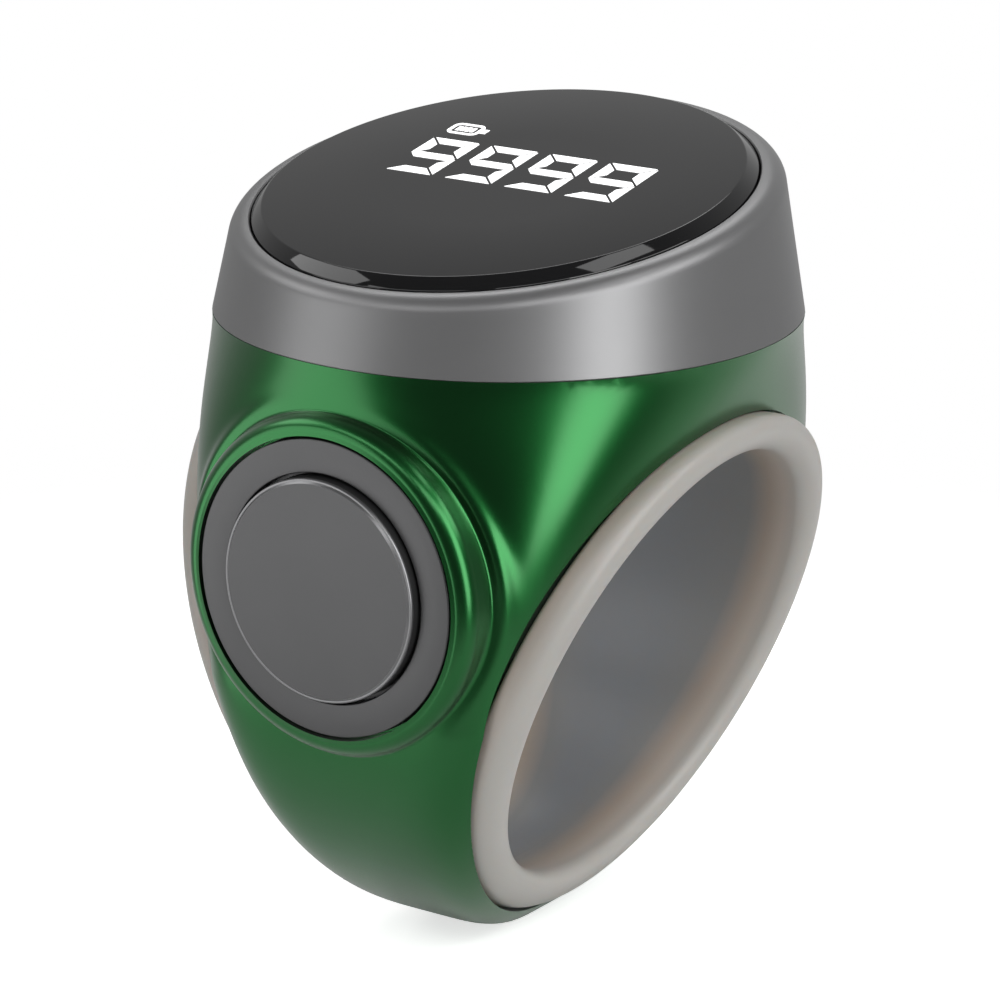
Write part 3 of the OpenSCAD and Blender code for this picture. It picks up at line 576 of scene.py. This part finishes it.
rings = [list(ring) for ring in zip(*(bezel_wall(a) for a in angles))]
for r, sink in ((LENS_SEAT_R + SEAT_EASE, 0), (LENS_SEAT_R, SEAT_EASE), (LENS_SEAT_R, LENS_SEAT_DEEP)):
    rings.append([tilted(r, sink, a) for a in angles])
shelf_back, shelf_z = LENS_SEAT_DEEP * math.sin(TILT), TOP_Z - LENS_SEAT_DEEP * math.cos(TILT)
rings.append([(x, y + shelf_back, shelf_z + y * math.tan(TILT)) for x, y, z in level_ring(SHELF_R, 0)])
rings.append(level_ring(SHELF_R, SHELF_UNDER_Z, shelf_back))
rings.append(level_ring(SKIRT_IN_R, SHELF_UNDER_Z))
rings.append(level_ring(SKIRT_IN_R, SEAM_Z - SKIRT_DEEP))
rings.append(level_ring(SKIRT_OUT_R, SEAM_Z - SKIRT_DEEP))
rings.append(level_ring(SKIRT_OUT_R, SEAM_Z))
bezel_points = [p for ring in rings for p in ring]
bezel = crease(new_piece("bezel_turned", bezel_points, ring_faces(len(rings), AROUND, True)))
bezel_satin = finish("bezel_satin", (0.225, 0.225, 0.228), (0.25, 0.25, 0.253), patch=0.2, grain=14,
                     rough=(0.36, 0.44), bump=0.05, metallic=0.75)
dress(bezel, bezel_satin)
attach(bezel, "case")
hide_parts("bezel_ring")

# Display: a small panel on its flex, under a thick black-tinted cover glass glued to the bezel's shelf.
# The glass stands proud of the rim with a polished slope, and the digits and the battery icon light up
# through it.
LENS_R, LENS_DEEP, LENS_FACE_R, LENS_PROUD, LENS_INNER_R, LENS_EASE = 10.72, 0.9, 10.24, 0.445, 5.0, 0.04
panel_glass = finish("panel_glass", (0.006, 0.007, 0.01), (0.01, 0.011, 0.014), patch=0.5, grain=4,
                     rough=(0.08, 0.14), bump=0.01)
glue_black = finish("glue_black", (0.006, 0.006, 0.007), (0.012, 0.012, 0.013), patch=1.5, grain=6,
                    rough=(0.35, 0.5), bump=0.1)
black_glass = finish("black_glass", (0.008, 0.008, 0.0085), (0.0095, 0.0095, 0.01), patch=0.1, grain=1.0,
                     rough=(0.03, 0.05), bump=0.0, IOR=1.5)
lit_white = finish("lit_white", (0.9, 0.91, 0.92), (0.93, 0.94, 0.95), patch=1, grain=5,
                   rough=(0.4, 0.5), bump=0.0, Emission_Color=(1, 1, 1, 1), Emission_Strength=0.9)
dress(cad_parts["oled_panel"], panel_glass)
dress(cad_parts["oled_flex"], flex_amber)
dress(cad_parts["lens_adhesive"], glue_black)
dress(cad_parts["display_digits"], lit_white)
on_top = Matrix.Translation((0, 0, TOP_Z)) @ Matrix.Rotation(TILT, 4, "X")
lens_line = [(LENS_R, -LENS_DEEP), (LENS_R, 0.0), (LENS_FACE_R, LENS_PROUD), (LENS_INNER_R, LENS_PROUD)]
lens_line = eased(lens_line, (1, 2), LENS_EASE, steps=3)
lens = crease(turned("cover_glass", lens_line, on_top, AROUND), degrees=20)
dress(lens, black_glass)
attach(lens, "case")
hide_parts("display_lens")

# Finger sleeve: a soft silicone liner, moulded in one piece and stretched over the barrel's two slanted
# ends. Its rounded lips show outside; the thin wall between them is coloured cool grey, partly for the dark
# metal behind it showing through and partly as painted shade deep in the bore.
SLEEVE_R, WALL_R, LIP_IN, LIP_END, LIP_R = 10.0, 10.5, 6.46, 8.12, 11.48
BEAD, BEAD_CHANGE, LIP_OVAL, LIP_ROOT, WALL_STEP = 0.85, 0.16, 0.2, 0.3, 2
FLARE_START, STRAIGHT = 4.6, 5.0


def sleeve_section(angle):
    """Half the sleeve's section at an angle round the finger: distance from the middle, and radius."""
    bead = BEAD - BEAD_CHANGE * math.sin(angle)
    bead_r = LIP_R - LIP_OVAL * math.sin(angle) ** 2 - bead
    middle, inner = LIP_END - bead, bead_r - bead
    half = []
    for x in np.linspace(0, middle, 26):
        t = min(1, max(0, (x - FLARE_START) / (middle - FLARE_START)))
        half.append((x, SLEEVE_R + (inner - SLEEVE_R) * t * t * (3 - 2 * t)))
    for a in np.radians(np.linspace(-90, 90, 25))[1:]:
        half.append((middle + bead * math.cos(a), bead_r + bead * math.sin(a)))
    top = bead_r + bead
    for a in np.radians(np.linspace(90, 180, 6)):
        half.append((LIP_IN + LIP_ROOT + LIP_ROOT * math.cos(a), top - LIP_ROOT + LIP_ROOT * math.sin(a)))
    return half + [(LIP_IN, WALL_R), (LIP_IN - WALL_STEP, WALL_R), (0, WALL_R)]


columns = []
for a in angles:
    half = sleeve_section(a)
    whole = half + [(-x, r) for x, r in half[-2:0:-1]]
    columns.append([(x, r * math.sin(a), r * math.cos(a)) for x, r in whole])
points, from_middle = [], []
for i in range(len(columns[0])):
    for x, y, z in (column[i] for column in columns):
        points.append((x + SLANT * z * max(-1.0, min(1.0, x / STRAIGHT)), y, z))
        from_middle.append(abs(x))
sleeve = crease(new_piece("soft_sleeve", points, ring_faces(len(columns[0]), AROUND, True)), degrees=50)
depth = sleeve.data.attributes.new("from_middle", "FLOAT", "POINT")
depth.data.foreach_set("value", np.array(from_middle, np.float32))

# Colours along the sleeve: cool grey over the metal with painted shade deep in the bore, a painted warm glow
# where it thickens, pale at the lips' ends
WALL_PAINTED_SHADE_COLOUR, LIP_COLOUR = (0.19, 0.198, 0.21, 1), (0.4, 0.39, 0.37, 1)
SHADE_TO_GLOW_COLOURS = ((0.5, (0.205, 0.205, 0.203, 1)), (0.66, (0.34, 0.282, 0.235, 1)),
                   (0.78, (0.43, 0.375, 0.33, 1)), (0.9, (0.4, 0.385, 0.36, 1)))
COLOURS_START, COLOURS_END = 2.0, 8.25


def silicone_painted_shade_glow():
    """Silicone whose colour follows the distance from the sleeve's middle, painting shade deep in the bore
    and a warm glow where it thickens, with some light going into it.
    """
    material = new_material("silicone_painted_shade_glow")
    tree = material.node_tree
    shader, _ = add_finish(tree, patch=0.5, grain=6, rough=(0.34, 0.42), bump=0.08)
    where = tree.nodes.new("ShaderNodeAttribute")
    where.attribute_name = "from_middle"
    share = tree.nodes.new("ShaderNodeMapRange")
    share.inputs["From Min"].default_value = COLOURS_START
    share.inputs["From Max"].default_value = COLOURS_END
    # The ramp paints shade deep in the bore and a warm glow of scattered light where the silicone thickens.
    ramp = tree.nodes.new("ShaderNodeValToRGB")
    stops = ramp.color_ramp.elements
    stops[0].position, stops[0].color = 0.0, WALL_PAINTED_SHADE_COLOUR
    stops[1].position, stops[1].color = 1.0, LIP_COLOUR
    for position, colour in SHADE_TO_GLOW_COLOURS:
        stops.new(position).color = colour
    tree.links.new(where.outputs["Fac"], share.inputs["Value"])
    tree.links.new(share.outputs["Result"], ramp.inputs["Fac"])
    tree.links.new(ramp.outputs["Color"], shader.inputs["Base Color"])
    shader.inputs["Subsurface Weight"].default_value = 0.25
    shader.inputs["Subsurface Radius"].default_value = (1.0, 0.5, 0.3)
    shader.inputs["Subsurface Scale"].default_value = 0.8 * MM
    return material


dress(sleeve, silicone_painted_shade_glow())
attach(sleeve, "case")
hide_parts("finger_sleeve")

# Studio: a pale round table under the ring, a white backdrop, and soft lamps at the left, the right and
# the front, above and behind. The metal is shaped by the dark room between the lamps.
TABLE_HALF, TABLE_GAP, FADE_START, FADE_END = 0.5, 0.03 * MM, 0.03, 0.07
TABLE_GLOW, TABLE_SHADE = 0.65, (0.8, 0.8, 0.8, 1)


def seen_straight(tree):
    """One for light that runs straight to the camera or through glass to it, and nought for the rest."""
    rays = tree.nodes.new("ShaderNodeLightPath")
    seen = tree.nodes.new("ShaderNodeMath")
    seen.operation = "MAXIMUM"
    tree.links.new(rays.outputs["Is Camera Ray"], seen.inputs[0])
    tree.links.new(rays.outputs["Is Transmission Ray"], seen.inputs[1])
    return seen.outputs["Value"]


def mixed(tree, share, first, second):
    """The first shader where the share is nought, and the second where it is one."""
    mix = tree.nodes.new("ShaderNodeMixShader")
    tree.links.new(share, mix.inputs["Fac"])
    tree.links.new(first, mix.inputs[1])
    tree.links.new(second, mix.inputs[2])
    return mix.outputs["Shader"]


def table_top():
    """A matt pale top that glows where it is seen, looks plain in the metal, and fades out all round."""
    material = new_material("table_top")
    tree = material.node_tree
    shader = tree.nodes["Principled BSDF"]
    shader.inputs["Base Color"].default_value = (0.9, 0.9, 0.9, 1)
    shader.inputs["Roughness"].default_value = 0.7
    shader.inputs["Specular IOR Level"].default_value = 0.0
    matt = shader.outputs["BSDF"]
    place = tree.nodes.new("ShaderNodeTexCoord")
    flat = tree.nodes.new("ShaderNodeMapping")
    flat.inputs["Scale"].default_value = (1, 1, 0)
    reach = tree.nodes.new("ShaderNodeVectorMath")
    reach.operation = "LENGTH"
    fade = tree.nodes.new("ShaderNodeMapRange")
    fade.interpolation_type = "SMOOTHSTEP"
    fade.inputs["From Min"].default_value = FADE_START
    fade.inputs["From Max"].default_value = FADE_END
    tree.links.new(place.outputs["Object"], flat.inputs["Vector"])
    tree.links.new(flat.outputs["Vector"], reach.inputs[0])
    tree.links.new(reach.outputs["Value"], fade.inputs["Value"])
    glow = tree.nodes.new("ShaderNodeEmission")
    glow.inputs["Strength"].default_value = TABLE_GLOW
    lifted = tree.nodes.new("ShaderNodeAddShader")
    tree.links.new(matt, lifted.inputs[0])
    tree.links.new(glow.outputs["Emission"], lifted.inputs[1])
    dim = tree.nodes.new("ShaderNodeBsdfDiffuse")
    dim.inputs["Color"].default_value = TABLE_SHADE
    rays = tree.nodes.new("ShaderNodeLightPath")
    clear = tree.nodes.new("ShaderNodeBsdfTransparent")
    plain_top = mixed(tree, rays.outputs["Is Glossy Ray"], matt, dim.outputs["BSDF"])
    shown_top = mixed(tree, seen_straight(tree), plain_top, lifted.outputs["Shader"])
    faded_top = mixed(tree, fade.outputs["Result"], shown_top, clear.outputs["BSDF"])
    tree.links.new(faded_top, tree.nodes["Material Output"].inputs["Surface"])
    return material


table_z = cad_low.z - TABLE_GAP
table_mesh = bpy.data.meshes.new("pale_table")
table_corners = [(x * TABLE_HALF, y * TABLE_HALF, table_z) for x, y in ((-1, -1), (1, -1), (1, 1), (-1, 1))]
table_mesh.from_pydata(table_corners, [], [(0, 1, 2, 3)])
table_mesh.materials.append(table_top())
table = bpy.data.objects.new("pale_table", table_mesh)
bpy.context.scene.collection.objects.link(table)

# The room's light from each side: direction, where it starts and ends as a cosine, and how much it adds
ROOM_LIGHT = 0.075
ROOM_GLOWS = (((-0.545, 0.621, 0.563), 0.35, 1.0, 0.12), ((-0.91, 0.41, 0), 0.1, 1.0, 0.24),
              ((0.3, 0.95, 0), 0.3, 1.0, 0.3), ((0, 0, -1), 0.2, 0.8, 0.8))


def studio_world():
    """A white backdrop for the camera, and a dim room with soft glows for everything else."""
    world = bpy.data.worlds.new("studio")
    world.use_nodes = True
    tree = world.node_tree
    backdrop = tree.nodes["Background"]
    backdrop.inputs["Color"].default_value = (1, 1, 1, 1)
    backdrop.inputs["Strength"].default_value = 1.0
    direction = tree.nodes.new("ShaderNodeTexCoord")
    total = None
    for way, start, end, amount in ROOM_GLOWS:
        toward = tree.nodes.new("ShaderNodeVectorMath")
        toward.operation = "DOT_PRODUCT"
        toward.inputs[1].default_value = way
        glow = tree.nodes.new("ShaderNodeMapRange")
        glow.interpolation_type = "SMOOTHSTEP"
        glow.inputs["From Min"].default_value = start
        glow.inputs["From Max"].default_value = end
        glow.inputs["To Max"].default_value = amount
        add = tree.nodes.new("ShaderNodeMath")
        add.inputs[0].default_value = ROOM_LIGHT
        tree.links.new(direction.outputs["Generated"], toward.inputs[0])
        tree.links.new(toward.outputs["Value"], glow.inputs["Value"])
        tree.links.new(glow.outputs["Result"], add.inputs[1])
        if total is not None:
            tree.links.new(total, add.inputs[0])
        total = add.outputs["Value"]
    room = tree.nodes.new("ShaderNodeBackground")
    tree.links.new(total, room.inputs["Color"])
    shown = mixed(tree, seen_straight(tree), room.outputs["Background"], backdrop.outputs["Background"])
    tree.links.new(shown, tree.nodes["World Output"].inputs["Surface"])
    return world


bpy.context.scene.world = studio_world()

# Lamps: angle round the ring in degrees, height, distance, width and height of the panel, and power
LAMPS = {
    "right_lamp": (-19, 0.14, 0.5, 0.24, 0.56, 1.75),
    "left_lamp": (-131, -0.1, 0.5, 0.34, 0.6, 1.1),
    "high_left_lamp": (-155, 0.34, 0.45, 0.3, 0.18, 0.42),
    "front_right_lamp": (-50, 0.34, 0.4, 0.26, 0.14, 0.35),
    "upper_right_lamp": (14, 0.33, 0.42, 0.22, 0.2, 0.5),
    "high_right_lamp": (0, 0.46, 0.24, 0.2, 0.1, 0.17),
    "front_lamp": (-105, 0.35, 0.45, 0.4, 0.12, 0.35),
    "back_lamp": (125, 0.5, 0.35, 0.4, 0.2, 0.8),
}
RING_MIDDLE = Vector((0, 0, 0.004))


def soft_lamp(name, angle, height, away, wide, tall, power):
    """A soft lamp at an angle round the ring, facing its middle and not seen itself."""
    light = bpy.data.lights.new(name, "AREA")
    light.shape, light.size, light.size_y, light.energy = "RECTANGLE", wide, tall, power
    lamp = bpy.data.objects.new(name, light)
    at = Vector((math.cos(math.radians(angle)) * away, math.sin(math.radians(angle)) * away, height))
    lamp.location = at
    lamp.rotation_mode = "QUATERNION"
    lamp.rotation_quaternion = (RING_MIDDLE - at).to_track_quat("-Z", "Y")
    lamp.visible_camera = False
    bpy.context.scene.collection.objects.link(lamp)


for name, values in LAMPS.items():
    soft_lamp(name, *values)

# Camera: where the photograph was taken from, at the front right and a little above the ring.
# Its place is in metres and its lens in millimetres, for a picture as wide as it is high.
CAMERA_AT, LENS, SENSOR_W, NEAREST, FARTHEST_SEEN = (0.10046, -0.14527, 0.05941), 154.8, 36, 0.01, 10
azimuth, elevation = math.radians(34.7251), math.radians(16.8205)
back_way = Vector((math.sin(azimuth) * math.cos(elevation), -math.cos(azimuth) * math.cos(elevation),
                   math.sin(elevation)))
right_way = Vector((math.cos(azimuth), math.sin(azimuth), 0))
up_way = back_way.cross(right_way)
camera = bpy.data.objects.new("camera", bpy.data.cameras.new("camera"))
camera.data.lens, camera.data.sensor_width = LENS, SENSOR_W
camera.data.clip_start, camera.data.clip_end = NEAREST, FARTHEST_SEEN
facing = Matrix((right_way, up_way, back_way)).transposed().to_4x4()
camera.matrix_world = Matrix.Translation(CAMERA_AT) @ facing
bpy.context.scene.collection.objects.link(camera)
bpy.context.scene.camera = camera
bpy.context.scene.view_settings.view_transform = "Standard"
